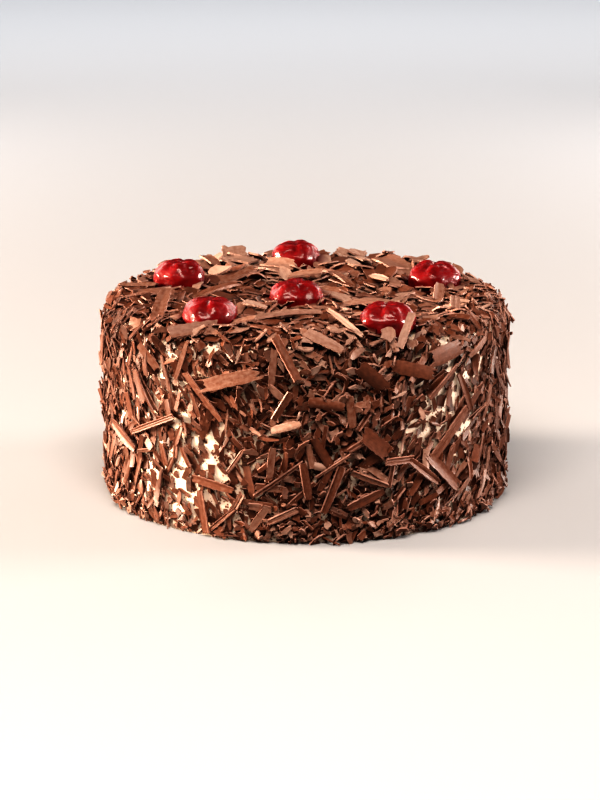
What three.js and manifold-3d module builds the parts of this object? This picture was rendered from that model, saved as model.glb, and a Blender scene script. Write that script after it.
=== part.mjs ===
// A black forest cake: a round cream-coated cake with chocolate shavings pressed on all over,
// nine big loose shavings on top and six candied cherries.
// Millimetres, +Z up, origin at the centre of the flat base. The front faces -Y.
// An azimuth is in degrees from the front, positive towards +X. A lean is in degrees from
// "up the cake" (up the side, then inwards over the top), positive towards growing azimuth.

import * as THREE from "three";
import { mergeVertices } from "three/addons/utils/BufferGeometryUtils.js";
import Module from "manifold-3d";

const wasm = await Module();
wasm.setup();

// ---- driving dimensions -------------------------------------------------------------------

const CAKE_RADIUS = 91.6; // to the bed of shavings on the side
const CAKE_HEIGHT = 89.8; // to the bed on top
const SHOULDER = 9; // rounding where the side turns over into the top
const FOOT = 1.5; // small rounding at the base
const GAP = 0.3; // clearance between neighbouring pieces

// How the spread cream wanders from a true cylinder: each wave by its depth, how often it goes
// round the cake and the height over which it shifts by one radian.
const CREAM_WAVES = [
  { depth: 0.7, around: 3, height: 14 },
  { depth: 0.42, around: 7, height: -9 },
];

const SHAVING_THICKNESS = 1.5;
const LOOSE_THICKNESS = 1.2;
const LOOSE_DISH = 0.5; // how far the long edges of a loose shaving stand up
const SPREAD_JITTER = 4; // how far a shaving may lie from its place in the even spread
const LOWEST_SHAVING = 8;
const LONG_SHAVING = 12; // from this length on a shaving is bent along its length
const TORN_ENDS = [-0.36, 0.3]; // how far an end's corner is torn, as a share of the width
const NARROW_ENDS = [0.55, 0.95]; // width of an end over the width in the middle

const CHERRY_RADIUS = 11.9;
const CHERRY_SQUASH = 0.72; // height over width before the underside is flattened
const CHERRY_DIMPLE = { depth: 0.22, width: 0.42 }; // the stone hole's: share of the radius, radians
const CHERRY_LOBES = [
  { depth: 0.055, around: 3, turns: 1 },
  { depth: 0.035, around: 5, turns: -2 },
];
const CHERRY_REACH = 1.09; // widest lobe over the radius

// Each layer of pressed-on shavings: how deep its middle is sunk, how far its ends droop, and how
// far in degrees it may pitch along its length and roll across its width.
const BIG_SHAVINGS = { sink: 1.1, droop: 0.5, pitch: 3, roll: 9 };
const SIDE_SHAVINGS = {
  count: 150, length: [9, 17], width: [3.2, 5.6], sink: 0.7, droop: 0.2, pitch: 9, roll: 14,
};
const TOP_SHAVINGS = {
  count: 54, length: [10, 20], width: [3.5, 6], sink: 0.5, droop: 0, pitch: 7, roll: 12,
};

const SEED = 20;

// ---- what lies where ----------------------------------------------------------------------

// A cherry's seat is the height of its centre over its flat underside.
const CHERRIES = [
  { name: "cherry_front_left", x: -41.4, y: -58, turn: 20, size: 0.98, seat: 3.6 },
  { name: "cherry_front_right", x: 34, y: -67, turn: 140, size: 1.0, seat: 3.2 },
  { name: "cherry_left", x: -57, y: 21, turn: 250, size: 0.98, seat: 4.0 },
  { name: "cherry_right", x: 59, y: 19, turn: 75, size: 1.0, seat: 3.4 },
  { name: "cherry_back", x: -4, y: 69, turn: 310, size: 0.98, seat: 3.4 },
  { name: "cherry_centre", x: -3.3, y: -15, turn: 190, size: 1.04, seat: 1.5 },
];

// Big shavings that lie loose on top. A heading is in degrees from +X, and a tilt lifts the
// end that the heading points to.
const LOOSE = [
  { name: "shaving_front_long", x: -10, y: -54, heading: 16, tilt: 3, length: 33, width: 6, arch: 1.2 },
  { name: "shaving_left_strip", x: -63, y: -40, heading: 84, tilt: 14, length: 28, width: 6.5, arch: 1 },
  { name: "shaving_left_leaf", x: -70, y: -8, heading: 4, tilt: 2, length: 21, width: 9, arch: 1.2 },
  { name: "shaving_left_inner", x: -40, y: -4, heading: 47, tilt: 5, length: 27, width: 6, arch: 1.2 },
  { name: "shaving_right_inner", x: 28, y: -30, heading: -9, tilt: 4, length: 25, width: 6.5, arch: 1.6 },
  { name: "shaving_mid_curl", x: 15, y: 21, heading: -60, tilt: -6, length: 27, width: 5, arch: 2.2 },
  { name: "shaving_back_right", x: 42, y: 45, heading: -62, tilt: -9, length: 25, width: 14, arch: 1.6 },
  { name: "shaving_back_strip", x: -18, y: 44, heading: -40, tilt: 4, length: 22, width: 7, arch: 1.4 },
  { name: "shaving_back_left", x: -36, y: 60, heading: -28, tilt: 6, length: 24, width: 11, arch: 1.6 },
];

// The longest shavings pressed on the side and over the edge: azimuth, height up the side,
// lean, length and width.
const LONG_ON_SIDE = [
  [-19, 72, 73, 23, 6.5],
  [-28, 63, 140, 25, 4.5],
  [-46, 46, 66, 24, 5],
  [-58, 36, 118, 20, 6],
  [-5, 53, 69, 14, 4.5],
  [-7, 30, 50, 26, 5],
  [0, 28, 172, 17, 5.5],
  [8, 25, 20, 22, 6],
  [17, 29, 112, 16, 5],
  [26, 36, 95, 15, 5.5],
  [33, 29, 130, 18, 6],
  [41, 27, 137, 19, 6.5],
  [18, 45, 130, 13, 8],
  [-25, 23, 98, 20, 5.5],
  [-30, 12, 168, 19, 5],
  [-18, 15, 30, 13, 4.5],
  [-5, 12, 65, 14, 5],
  [17, 19, 70, 16, 6],
  [40, 66, 55, 22, 4.5],
  [46, 43, 47, 27, 6.5],
  [53, 59, 155, 20, 5],
  [-5, 63, 31, 15, 5],
  [-4, 81, 152, 20, 5.5],
  [17, 74, 132, 13, 8],
  [29, 73, 105, 17, 7.5],
  [41, 78, 80, 16, 9],
  [5, 89, 118, 17, 6.5],
  [-31, 90, 98, 24, 8],
  [33, 89, 12, 14, 6.5],
];

// ---- helpers ------------------------------------------------------------------------------

const radians = THREE.MathUtils.degToRad;

// A seeded stream of numbers from 0 to 1.
function randomStream(seed) {
  let state = seed >>> 0;
  return () => {
    state = (state + 0x6d2b79f5) >>> 0;
    let t = state;
    t = Math.imul(t ^ (t >>> 15), t | 1);
    t ^= t + Math.imul(t ^ (t >>> 7), t | 61);
    return ((t ^ (t >>> 14)) >>> 0) / 4294967296;
  };
}

const random = randomStream(SEED);
const between = (low, high) => low + (high - low) * random();
const either = (most) => between(-most, most);

// Drops all but the positions and shares the vertices, so that a shape can be bent as one skin.
function skinOf(geometry) {
  const skin = geometry.clone();
  skin.deleteAttribute("normal");
  skin.deleteAttribute("uv");
  return mergeVertices(skin, 1e-4);
}

// Moves each vertex of a shared-vertex geometry by a function of its position.
function reshape(geometry, move) {
  const position = geometry.getAttribute("position");
  const point = new THREE.Vector3();
  for (let i = 0; i < position.count; i++) {
    point.fromBufferAttribute(position, i);
    move(point);
    position.setXYZ(i, point.x, point.y, point.z);
  }
  return geometry;
}

function solidOf(geometry) {
  const skin = mergeVertices(geometry, 1e-4);
  const triangles = [];
  for (let i = 0; i < skin.index.count; i += 3) {
    const [a, b, c] = [skin.index.getX(i), skin.index.getX(i + 1), skin.index.getX(i + 2)];
    if (a !== b && b !== c && a !== c) triangles.push(a, b, c);
  }
  const vertProperties = Float32Array.from(skin.getAttribute("position").array);
  return new wasm.Manifold(
    new wasm.Mesh({ numProp: 3, vertProperties, triVerts: Uint32Array.from(triangles) }),
  );
}

function geometryOf(solid) {
  const mesh = solid.getMesh();
  const geometry = new THREE.BufferGeometry();
  geometry.setAttribute("position", new THREE.BufferAttribute(mesh.vertProperties, 3));
  geometry.setIndex(new THREE.BufferAttribute(mesh.triVerts, 1));
  return geometry;
}

// A place on the cake's skin: the point, the outward normal and the two directions along the
// skin, for an azimuth and a distance up the side and on over the top.
const SIDE_LENGTH = CAKE_HEIGHT - SHOULDER;
const SHOULDER_LENGTH = (SHOULDER * Math.PI) / 2;

function placeOnSkin(azimuth, distance) {
  const a = radians(azimuth);
  const outward = new THREE.Vector3(Math.sin(a), -Math.cos(a), 0);
  const around = new THREE.Vector3(Math.cos(a), Math.sin(a), 0);
  const turn = THREE.MathUtils.clamp((distance - SIDE_LENGTH) / SHOULDER, 0, Math.PI / 2);
  const inwards = Math.max(0, distance - SIDE_LENGTH - SHOULDER_LENGTH);
  const r = CAKE_RADIUS - SHOULDER * (1 - Math.cos(turn)) - inwards;
  const z = Math.min(distance, SIDE_LENGTH) + SHOULDER * Math.sin(turn);
  const normal = outward.clone().multiplyScalar(Math.cos(turn));
  normal.z = Math.sin(turn);
  const up = outward.clone().multiplyScalar(-Math.sin(turn));
  up.z = Math.cos(turn);
  return { point: outward.multiplyScalar(r).setZ(z), normal, around, up };
}

// Shortest distance, seen from above, between a point and the segment a-b.
function distanceToSegment(point, a, b) {
  const along = b.clone().sub(a);
  const t = THREE.MathUtils.clamp(point.clone().sub(a).dot(along) / along.lengthSq(), 0, 1);
  return point.distanceTo(a.clone().addScaledVector(along, t));
}

// ---- the cake itself ----------------------------------------------------------------------

// The cream-coated core: a turned profile, whose side wanders a little as spread cream does.
function coreGeometry() {
  const profile = [new THREE.Vector2(0, 0), new THREE.Vector2(CAKE_RADIUS - FOOT, 0)];
  const sideRows = 4;
  for (let row = 0; row <= sideRows; row++) {
    const z = THREE.MathUtils.lerp(FOOT, SIDE_LENGTH, row / sideRows);
    profile.push(new THREE.Vector2(CAKE_RADIUS, z));
  }
  const shoulderSteps = 3;
  for (let step = 1; step <= shoulderSteps; step++) {
    const turn = (step / shoulderSteps) * (Math.PI / 2);
    const x = CAKE_RADIUS - SHOULDER * (1 - Math.cos(turn));
    profile.push(new THREE.Vector2(x, SIDE_LENGTH + SHOULDER * Math.sin(turn)));
  }
  profile.push(new THREE.Vector2(0, CAKE_HEIGHT));
  const segments = 52;
  const turned = skinOf(new THREE.LatheGeometry(profile, segments).rotateX(Math.PI / 2));
  return reshape(turned, (p) => {
    const r = Math.hypot(p.x, p.y);
    if (r < CAKE_RADIUS - SHOULDER + GAP) return;
    const a = Math.atan2(p.y, p.x);
    const wave = ({ depth, around, height }) => depth * Math.sin(around * a + p.z / height);
    const wander = CREAM_WAVES.map(wave).reduce((sum, swell) => sum + swell);
    const share = Math.min(1, (r - CAKE_RADIUS + SHOULDER) / SHOULDER);
    const scale = 1 + (share * wander) / r;
    p.x *= scale;
    p.y *= scale;
  });
}

// A thin shaving along X with its middle at the origin: its ends droop, its long edges stand up
// by the dish, and its ends are narrower and torn.
function shavingGeometry({ length, width, thickness, droop, dish, stations, lanes }) {
  const slab = new THREE.BoxGeometry(length, width, thickness, stations, lanes, 1);
  const torn = Array.from({ length: 4 }, () => between(...TORN_ENDS) * width);
  const narrow = [between(...NARROW_ENDS), between(...NARROW_ENDS)];
  return reshape(skinOf(slab), (p) => {
    const u = (2 * p.x) / length;
    const v = (2 * p.y) / width;
    const end = u > 0 ? 1 : 0;
    const corner = 2 * end + (v > 0 ? 1 : 0);
    p.y *= THREE.MathUtils.lerp(1, narrow[end], u * u);
    p.x += torn[corner] * Math.abs(u) * Math.abs(v);
    p.z += dish * v * v - droop * u * u;
  });
}

// Turns and moves a shaving to a place on the skin. pitch lifts one end, roll one long edge.
function layOnSkin(geometry, place, { lean, pitch, roll, sink }) {
  const along = place.up.clone().multiplyScalar(Math.cos(radians(lean)));
  along.addScaledVector(place.around, Math.sin(radians(lean)));
  const across = place.normal.clone().cross(along);
  const matrix = new THREE.Matrix4().makeBasis(along, across, place.normal);
  matrix.setPosition(place.point.clone().addScaledVector(place.normal, sink));
  matrix.multiply(new THREE.Matrix4().makeRotationY(radians(pitch)));
  matrix.multiply(new THREE.Matrix4().makeRotationX(radians(roll)));
  return geometry.applyMatrix4(matrix);
}

// True where a pressed-on shaving would cross a cherry or a loose shaving on top.
function crossesTopping(place, lean, length, width) {
  if (place.point.z < CAKE_HEIGHT - SHOULDER / 2) return false;
  const along = place.up.clone().multiplyScalar(Math.cos(radians(lean)));
  along.addScaledVector(place.around, Math.sin(radians(lean))).setZ(0);
  const centre = place.point.clone().setZ(0);
  const a = centre.clone().addScaledVector(along, -length / 2);
  const b = centre.clone().addScaledVector(along, length / 2);
  const clearance = width / 2 + 2 * GAP;
  for (const cherry of CHERRIES) {
    const middle = new THREE.Vector3(cherry.x, cherry.y, 0);
    const reach = CHERRY_RADIUS * cherry.size * CHERRY_REACH;
    if (distanceToSegment(middle, a, b) < reach + clearance) return true;
  }
  for (const loose of LOOSE) {
    const h = radians(loose.heading);
    const half = new THREE.Vector3(Math.cos(h), Math.sin(h), 0).multiplyScalar(loose.length / 2);
    const middle = new THREE.Vector3(loose.x, loose.y, 0);
    const alongLoose = [-1.1, -0.75, -0.5, -0.25, 0, 0.25, 0.5, 0.75, 1.1];
    const near = alongLoose.some((t) => {
      const point = middle.clone().addScaledVector(half, t);
      return distanceToSegment(point, a, b) < clearance + loose.width / 2;
    });
    if (near) return true;
  }
  return false;
}

// How the pressed-on shavings lean round the side: upright at the far left and right, falling
// one way left of the front and the other way right of it, and every way at the front and back.
function leanAt(azimuth) {
  if (azimuth < -115 || azimuth > 115) return between(-75, 75);
  if (azimuth < -48) return between(-25, 22);
  if (azimuth < -14) return between(-62, 8);
  if (azimuth < 22) return between(-90, 90);
  if (azimuth < 60) return between(12, 62);
  return between(-18, 28);
}

// Every shaving that is pressed into the coating, the longest first.
function pressedShavings() {
  const laid = [];
  const lay = (azimuth, distance, lean, length, width, layer) => {
    const tilt = { pitch: either(layer.pitch), roll: either(layer.roll) };
    const place = placeOnSkin(azimuth, distance);
    if (crossesTopping(place, lean, length, width)) return;
    const shaving = shavingGeometry({
      length,
      width,
      thickness: SHAVING_THICKNESS,
      droop: layer.droop,
      dish: 0,
      stations: length > LONG_SHAVING ? 3 : 1,
      lanes: 1,
    });
    laid.push(solidOf(layOnSkin(shaving, place, { lean, sink: layer.sink, ...tilt })));
  };
  for (const [azimuth, distance, lean, length, width] of LONG_ON_SIDE) {
    lay(azimuth, distance, lean, length, width, BIG_SHAVINGS);
  }
  // An even spread over the side: each step goes round by a fixed share and up by another.
  const highest = SIDE_LENGTH + SHOULDER_LENGTH - LOWEST_SHAVING / 2;
  for (let i = 0; i < SIDE_SHAVINGS.count; i++) {
    const aside = THREE.MathUtils.radToDeg(either(SPREAD_JITTER) / CAKE_RADIUS);
    const azimuth = ((i * 0.7548777) % 1) * 360 - 180 + aside;
    const height = THREE.MathUtils.lerp(LOWEST_SHAVING, highest, (i * 0.5698403) % 1);
    const distance = height + either(SPREAD_JITTER);
    const length = THREE.MathUtils.lerp(...SIDE_SHAVINGS.length, 1 - i / SIDE_SHAVINGS.count);
    const width = between(...SIDE_SHAVINGS.width);
    lay(azimuth, distance, leanAt(azimuth), length, width, SIDE_SHAVINGS);
  }
  // A sunflower spread over the top.
  const goldenAngle = 180 * (3 - Math.sqrt(5));
  for (let i = 0; i < TOP_SHAVINGS.count; i++) {
    const reach = CAKE_RADIUS - SHOULDER;
    const inwards = reach * (1 - Math.sqrt((i + 0.5) / TOP_SHAVINGS.count));
    const distance = SIDE_LENGTH + SHOULDER_LENGTH + inwards;
    const length = between(...TOP_SHAVINGS.length);
    const width = between(...TOP_SHAVINGS.width);
    lay((i * goldenAngle) % 360, distance, either(90), length, width, TOP_SHAVINGS);
  }
  return laid;
}

function cakeGeometry() {
  const covered = wasm.Manifold.union([solidOf(coreGeometry()), ...pressedShavings()]);
  const floorSize = 3 * CAKE_RADIUS;
  const belowFloor = new THREE.BoxGeometry(floorSize, floorSize, floorSize);
  belowFloor.translate(0, 0, -floorSize / 2);
  // The outermost skin alone is kept: loose scraps go, and small sealed hollows are filled.
  const skins = covered.subtract(solidOf(skinOf(belowFloor))).decompose();
  return geometryOf(skins.reduce((most, skin) => (skin.volume() > most.volume() ? skin : most)));
}

// ---- toppings -----------------------------------------------------------------------------

// A candied cherry: a squashed, lobed ball with the dimple of its stone hole, and a flat
// underside at height 0.
function cherryGeometry({ turn, size, seat }) {
  const radius = CHERRY_RADIUS * size;
  const ball = skinOf(new THREE.SphereGeometry(radius, 18, 10).rotateX(Math.PI / 2));
  const shape = reshape(ball, (p) => {
    const polar = Math.acos(THREE.MathUtils.clamp(p.z / radius, -1, 1));
    const a = Math.atan2(p.y, p.x);
    const lobe = ({ depth, around, turns }) => depth * Math.sin(around * a + turns * radians(turn));
    const lobes = CHERRY_LOBES.map(lobe).reduce((sum, swell) => sum + swell);
    const dimple = CHERRY_DIMPLE.depth * Math.exp(-((polar / CHERRY_DIMPLE.width) ** 2));
    p.multiplyScalar(1 + lobes * Math.sin(polar) - dimple);
    p.z = Math.max(p.z * CHERRY_SQUASH, -seat);
  });
  return shape.translate(0, 0, seat);
}

// A big loose shaving, arched along its length and tilted, with its lowest point at height 0.
function looseShavingGeometry({ length, width, arch, tilt }) {
  const shape = { length, width, thickness: LOOSE_THICKNESS, droop: arch, dish: LOOSE_DISH };
  const shaving = shavingGeometry({ ...shape, stations: 6, lanes: 2 }).rotateY(-radians(tilt));
  shaving.computeBoundingBox();
  return shaving.translate(0, 0, -shaving.boundingBox.min.z);
}

function material(colour, roughness) {
  return new THREE.MeshStandardMaterial({ color: colour, roughness, metalness: 0 });
}

function meshOf(name, geometry, look) {
  const mesh = new THREE.Mesh(geometry, look);
  mesh.name = name;
  return mesh;
}

// ---- the whole ----------------------------------------------------------------------------

const cake = new THREE.Group();
cake.add(meshOf("cake", cakeGeometry(), material("#7b4a33", 0.55)));

const toppings = new THREE.Group();
toppings.position.z = CAKE_HEIGHT + GAP;
for (const piece of CHERRIES) {
  const cherry = meshOf(piece.name, cherryGeometry(piece), material("#8f0d16", 0.15));
  cherry.position.set(piece.x, piece.y, 0);
  toppings.add(cherry);
}
for (const piece of LOOSE) {
  const shaving = meshOf(piece.name, looseShavingGeometry(piece), material("#80503a", 0.5));
  shaving.position.set(piece.x, piece.y, 0);
  shaving.rotation.z = radians(piece.heading);
  toppings.add(shaving);
}
cake.add(toppings);

export default cake;
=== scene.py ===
"""Dresses the plain frame of a black forest cake: whipped cream, chocolate shavings and cherries.

Lengths in this file are in millimetres unless a name ends in _m; a mesh is turned to metres as
it is made. An azimuth runs round the cake in radians from the front (-Y) towards +X. A climb is
the distance along the cake's skin from the base up the side and on over the top. A lean is the
angle of a shaving from "up the skin", towards growing azimuth.
"""

import math

import bmesh
import bpy
import numpy as np
from bpy.props import FloatProperty, FloatVectorProperty, IntProperty, PointerProperty
from mathutils import Matrix, Vector, noise


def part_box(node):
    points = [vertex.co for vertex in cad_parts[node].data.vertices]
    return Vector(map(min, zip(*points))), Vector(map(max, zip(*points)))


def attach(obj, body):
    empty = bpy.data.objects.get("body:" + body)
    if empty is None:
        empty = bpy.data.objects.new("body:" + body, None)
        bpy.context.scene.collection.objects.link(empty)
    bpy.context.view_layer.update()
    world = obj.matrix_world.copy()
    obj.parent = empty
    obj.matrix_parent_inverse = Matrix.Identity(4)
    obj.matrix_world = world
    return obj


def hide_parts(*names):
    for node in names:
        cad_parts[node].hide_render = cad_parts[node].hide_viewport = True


bl_info = {
    "name": "Black forest cake",
    "version": (1, 0, 0),
    "blender": (4, 5, 0),
    "location": "3D View > Sidebar > Cake",
    "description": "Dresses a plain cake with cream, chocolate shavings and candied cherries",
    "category": "Add Mesh",
}

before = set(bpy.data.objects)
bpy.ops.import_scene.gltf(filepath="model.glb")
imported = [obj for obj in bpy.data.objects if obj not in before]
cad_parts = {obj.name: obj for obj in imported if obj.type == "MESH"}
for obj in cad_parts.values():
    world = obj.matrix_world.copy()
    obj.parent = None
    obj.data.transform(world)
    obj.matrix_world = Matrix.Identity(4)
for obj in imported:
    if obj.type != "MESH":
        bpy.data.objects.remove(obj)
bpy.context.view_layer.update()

MM = 0.001


def box_mm(node):
    """A node's lowest and highest corners."""
    return (np.array(corner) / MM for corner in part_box(node))


LOW, HIGH = box_mm("cake")
SHAVINGS_STAND_OUT = 2.4  # how far the fused shavings of the frame stand out of its round core
CHERRY_CLEARANCE = 0.3  # the frame's cherries float this far over the core
CORE_RADIUS = (HIGH[0] - LOW[0]) / 2 - SHAVINGS_STAND_OUT
CORE_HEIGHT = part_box("cherry_centre")[0][2] / MM - CHERRY_CLEARANCE
SHOULDER = 9.0  # radius of the rounding where the side turns over into the top
DEEPER_ON_TOP = 0.4  # how much deeper the bed of shavings is on top than on the side

# Cherries by node: how far each is turned, and its centre's height over its underside.
CHERRIES = {
    "cherry_front_left": (20, 3.6),
    "cherry_front_right": (140, 3.2),
    "cherry_left": (250, 4.0),
    "cherry_right": (75, 3.4),
    "cherry_back": (310, 3.4),
    "cherry_centre": (190, 1.5),
}

# Where folds run down each cherry from its stone hole: degrees from +X, and depth as a share of
# the radius.
CLEFTS = {
    "cherry_front_left": ((-100, 0.16), (60, 0.1), (170, 0.08)),
    "cherry_front_right": ((-112, 0.13), (-40, 0.08), (90, 0.12)),
    "cherry_left": ((-60, 0.12), (70, 0.12), (190, 0.1)),
    "cherry_right": ((-120, 0.1), (-30, 0.1), (80, 0.1)),
    "cherry_back": ((-90, 0.1), (20, 0.1), (150, 0.1)),
    "cherry_centre": ((-70, 0.16), (50, 0.1), (200, 0.1)),
}

# The frame's loose shavings by node: x, y, heading and tilt in degrees, length, width, arch.
LOOSE = {
    "shaving_front_long": (-10, -54, 16, 3, 33, 6, 1.2),
    "shaving_left_strip": (-63, -40, 84, 14, 28, 6.5, 1),
    "shaving_left_leaf": (-70, -8, 4, 2, 21, 9, 1.2),
    "shaving_left_inner": (-40, -4, 47, 5, 27, 6, 1.2),
    "shaving_right_inner": (28, -30, -9, 4, 25, 6.5, 1.6),
    "shaving_mid_curl": (15, 21, -60, -6, 27, 5, 2.2),
    "shaving_back_right": (42, 45, -62, -9, 25, 14, 1.6),
    "shaving_back_strip": (-18, 44, -40, 4, 22, 7, 1.4),
    "shaving_back_left": (-36, 60, -28, 6, 24, 11, 1.6),
}

# Big shavings that stand out on the side and over the edge, each laid one by one: azimuth in degrees,
# climb, lean in degrees, length, width, roll across the width, pitch in degrees, and how pale.
LONG_ON_SIDE = [
    (-20, 72, 73, 23, 6.3, 0.2, 0, 0.62),
    (-28, 63, 135, 25, 3.2, 0.4, 0, 0.5),
    (-46, 46, 66, 28, 3.2, 1.2, 0, 0.48),
    (-60, 36, 113, 20, 5.2, 0.6, 0, 0.42),
    (-5, 53, 69, 14, 3.6, -0.5, 12, 0.82),
    (-7, 30, 52, 25, 3.4, 2.6, 4, 0.55),
    (0, 29, 170, 16, 4.8, 1.2, 0, 0.5),
    (7, 25, 19, 22, 5.0, 2.2, 3, 0.5),
    (7, 36, 53, 17, 1.8, 1.5, 6, 0.6),
    (17, 29, 113, 16, 4.0, 1.6, 0, 0.6),
    (25, 36, 95, 15, 4.0, 1.2, 0, 0.5),
    (33, 29, 129, 18, 4.5, 1.0, 0, 0.5),
    (40, 27, 135, 19, 6.0, 0.7, 0, 0.5),
    (18, 45, 131, 12, 7.8, 0.3, 10, 0.4),
    (-26, 24, 98, 19, 4.4, 0.9, 0, 0.5),
    (-29, 11, 167, 18, 4.0, 0.4, 0, 0.5),
    (-19, 16, 31, 13, 3.6, 0.6, 8, 0.6),
    (-23, 9, 48, 15, 2.4, 0.8, 0, 0.5),
    (-6, 13, 65, 13, 4.0, 2.4, 0, 0.62),
    (16, 20, 70, 17, 5.0, 0.8, 4, 0.4),
    (40, 67, 55, 21, 2.8, 0.6, 0, 0.45),
    (44, 43, 47, 26, 5.2, 0.5, 0, 0.5),
    (50, 59, 153, 19, 3.6, 0.6, 0, 0.45),
    (-6, 62, 31, 14, 4.0, 0.8, 5, 0.5),
    (-5, 81, 151, 20, 4.6, 1.0, 6, 0.5),
    (17, 74, 132, 13, 7.0, -1.2, 8, 0.35),
    (-43, 33, -14, 9, 3.0, 0.3, 4, 0.5),
    (-38.5, 36, 12, 10, 2.8, 0.2, 3, 0.6),
    (-40.5, 29, 28, 8, 2.6, 0.4, 0, 0.4),
    (-35, 34, -30, 9, 3.2, 0.3, 5, 0.5),
    (-37, 43, 20, 9, 3.0, 0.2, 3, 0.5),
    (29, 75, 106, 17, 6.2, -0.6, 6, 0.4),
    (41, 79, 81, 16, 8.0, -0.5, 4, 0.45),
    (5, 85.5, 125, 17, 5.2, 0.1, 6, 0.7),
]

# Shavings laid one by one on the top: x, y, heading in degrees, length, width, roll, pitch, how pale.
LONG_ON_TOP = [
    (-7, -52, -50, 11, 4.6, 0.2, -4, 0.95),
    (-22, -38, -40, 10, 5.5, 0.2, -10, 0.95),
    (59, -47, -10, 8, 5, 0.3, -18, 0.95),
    (16, -20, -50, 13, 5, 0.4, 6, 0.9),
    (-43, -76, 54, 20, 6, 0.3, 4, 0.8),
    (-26, -71, -20, 10, 4.4, 0.3, 16, 0.7),
    (-28, 66, 35, 15, 9, -0.8, 14, 0.85),
    (-45, 52, -30, 14, 7, 0.8, 10, 0.6),
    (-12, 43, 60, 13, 8, 0.8, 4, 0.75),
    (27, 62, 20, 16, 8, -0.8, 12, 1.0),
    (12, 62, -50, 13, 6, 0.6, 14, 0.7),
    (40, 66, 24, 13, 6, 0.8, 3, 0.6),
    (34, 14, -66, 20, 3.4, 0.4, 8, 0.95),
    (56, 50, 30, 12, 6, 0.6, 12, 0.7),
    (-60, 44, 20, 12, 6, 0.6, 10, 0.6),
    (0, 24, 15, 16, 5, 0.4, 8, 0.7),
    (-30, 24, 70, 15, 5, 0.5, 10, 0.6),
    (60, -14, 70, 16, 5.5, 0.5, 12, 0.6),
    (66, -34, 40, 12, 5, 0.5, 14, 0.7),
]

# Shavings that lean on a cherry or on others: kind, middle, heading, pitch and roll in degrees,
# length, width and how pale.
LEANING = [
    ("long", (-47.8, -73.0, 90.4), 12, 5, 50, 20, 6.6, 0.6),
    ("chips", (35.2, -82.0, 90.4), 85, 48, 0, 8.6, 8.0, 0.7),
    ("long", (42.5, -80.4, 91.6), 60, 50, 16, 16, 4.0, 0.75),
    ("long", (16.8, -72.0, 93.3), 119, 11, -35, 29, 2.8, 1.0),
    ("torn", (-34.0, 71.0, 93.2), 98, 34, 0, 10, 13, 0.8),
    ("torn", (22.0, 72.0, 92.6), 80, 26, 8, 9, 15, 0.85),
]

# How the listed shavings are made and laid, and how much juice they take up.
PLATE_WIDTH = 5.8  # from here on one is a torn plate
BIG_TEMPLATES = 8  # of each kind
ON_SIDE = {"thickness": 0.65, "bow": -0.12}
ON_TOP = {"thickness": 0.8, "bow": -0.2}
BY_HAND = {"loosely": 0.03, "press": 96, "tallest": 20}
ANY_TWIST = 0.15
LEANING_THICKNESS = 0.6
LEANING_FORM = (-0.15, 0.3, 0.1)  # bow, roll and twist
LEANING_SOAKED = 0.1
LOOSE_THICKNESS = 1.0
LOOSE_ROLL = 0.35
LOOSE_TWIST = 0.12
LOOSE_TONES = (0.5, 0.8)
LOOSE_SOAKED = 0.4


# ---- settings -----------------------------------------------------------------------------


def linear(code):
    """An sRGB hex colour as linear red, green and blue."""
    parts = (int(code[i : i + 2], 16) / 255 for i in (1, 3, 5))
    return tuple(c / 12.92 if c <= 0.04045 else ((c + 0.055) / 1.055) ** 2.4 for c in parts)


def colour_setting(name, description, code):
    return FloatVectorProperty(
        name=name, description=description, subtype="COLOR", size=3, min=0, max=1, default=linear(code)
    )


class CakeSizes(bpy.types.PropertyGroup):
    """Sizes that a maker would change, in millimetres."""

    bed_depth: FloatProperty(name="Bed depth", description="Shavings over the cream", default=2.3)
    plumpness: FloatProperty(name="Cherry folds", description="Depth of a cherry's folds", default=1.0)
    seed: IntProperty(name="Seed", description="Which spread of shavings is laid", default=7)


class CakeColours(bpy.types.PropertyGroup):
    """Colours of what the cake is made of."""

    dark: colour_setting("Dark chocolate", "The darkest shavings", "#241511")
    milk: colour_setting("Milk chocolate", "Most shavings", "#5e3a2b")
    pale: colour_setting("Pale chocolate", "The palest shavings", "#8f776c")
    # painted highlight: the broken edges are painted this paler colour, as if catching the light
    broken_edge_highlight: colour_setting("Broken edge", "Thin edges that let the light in", "#a68479")
    wine: colour_setting("Cherry juice", "Shavings soaked by the cherries", "#3a0a10")
    cream: colour_setting("Whipped cream", "The coating", "#c3b2a3")
    cherry: colour_setting("Cherry", "The candied flesh", "#6e1519")
    floor: colour_setting("Floor", "What the cake stands on", "#8e8f92")


# ---- the skin of the cake, and the bed of shavings that builds up on it ---------------------


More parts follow.
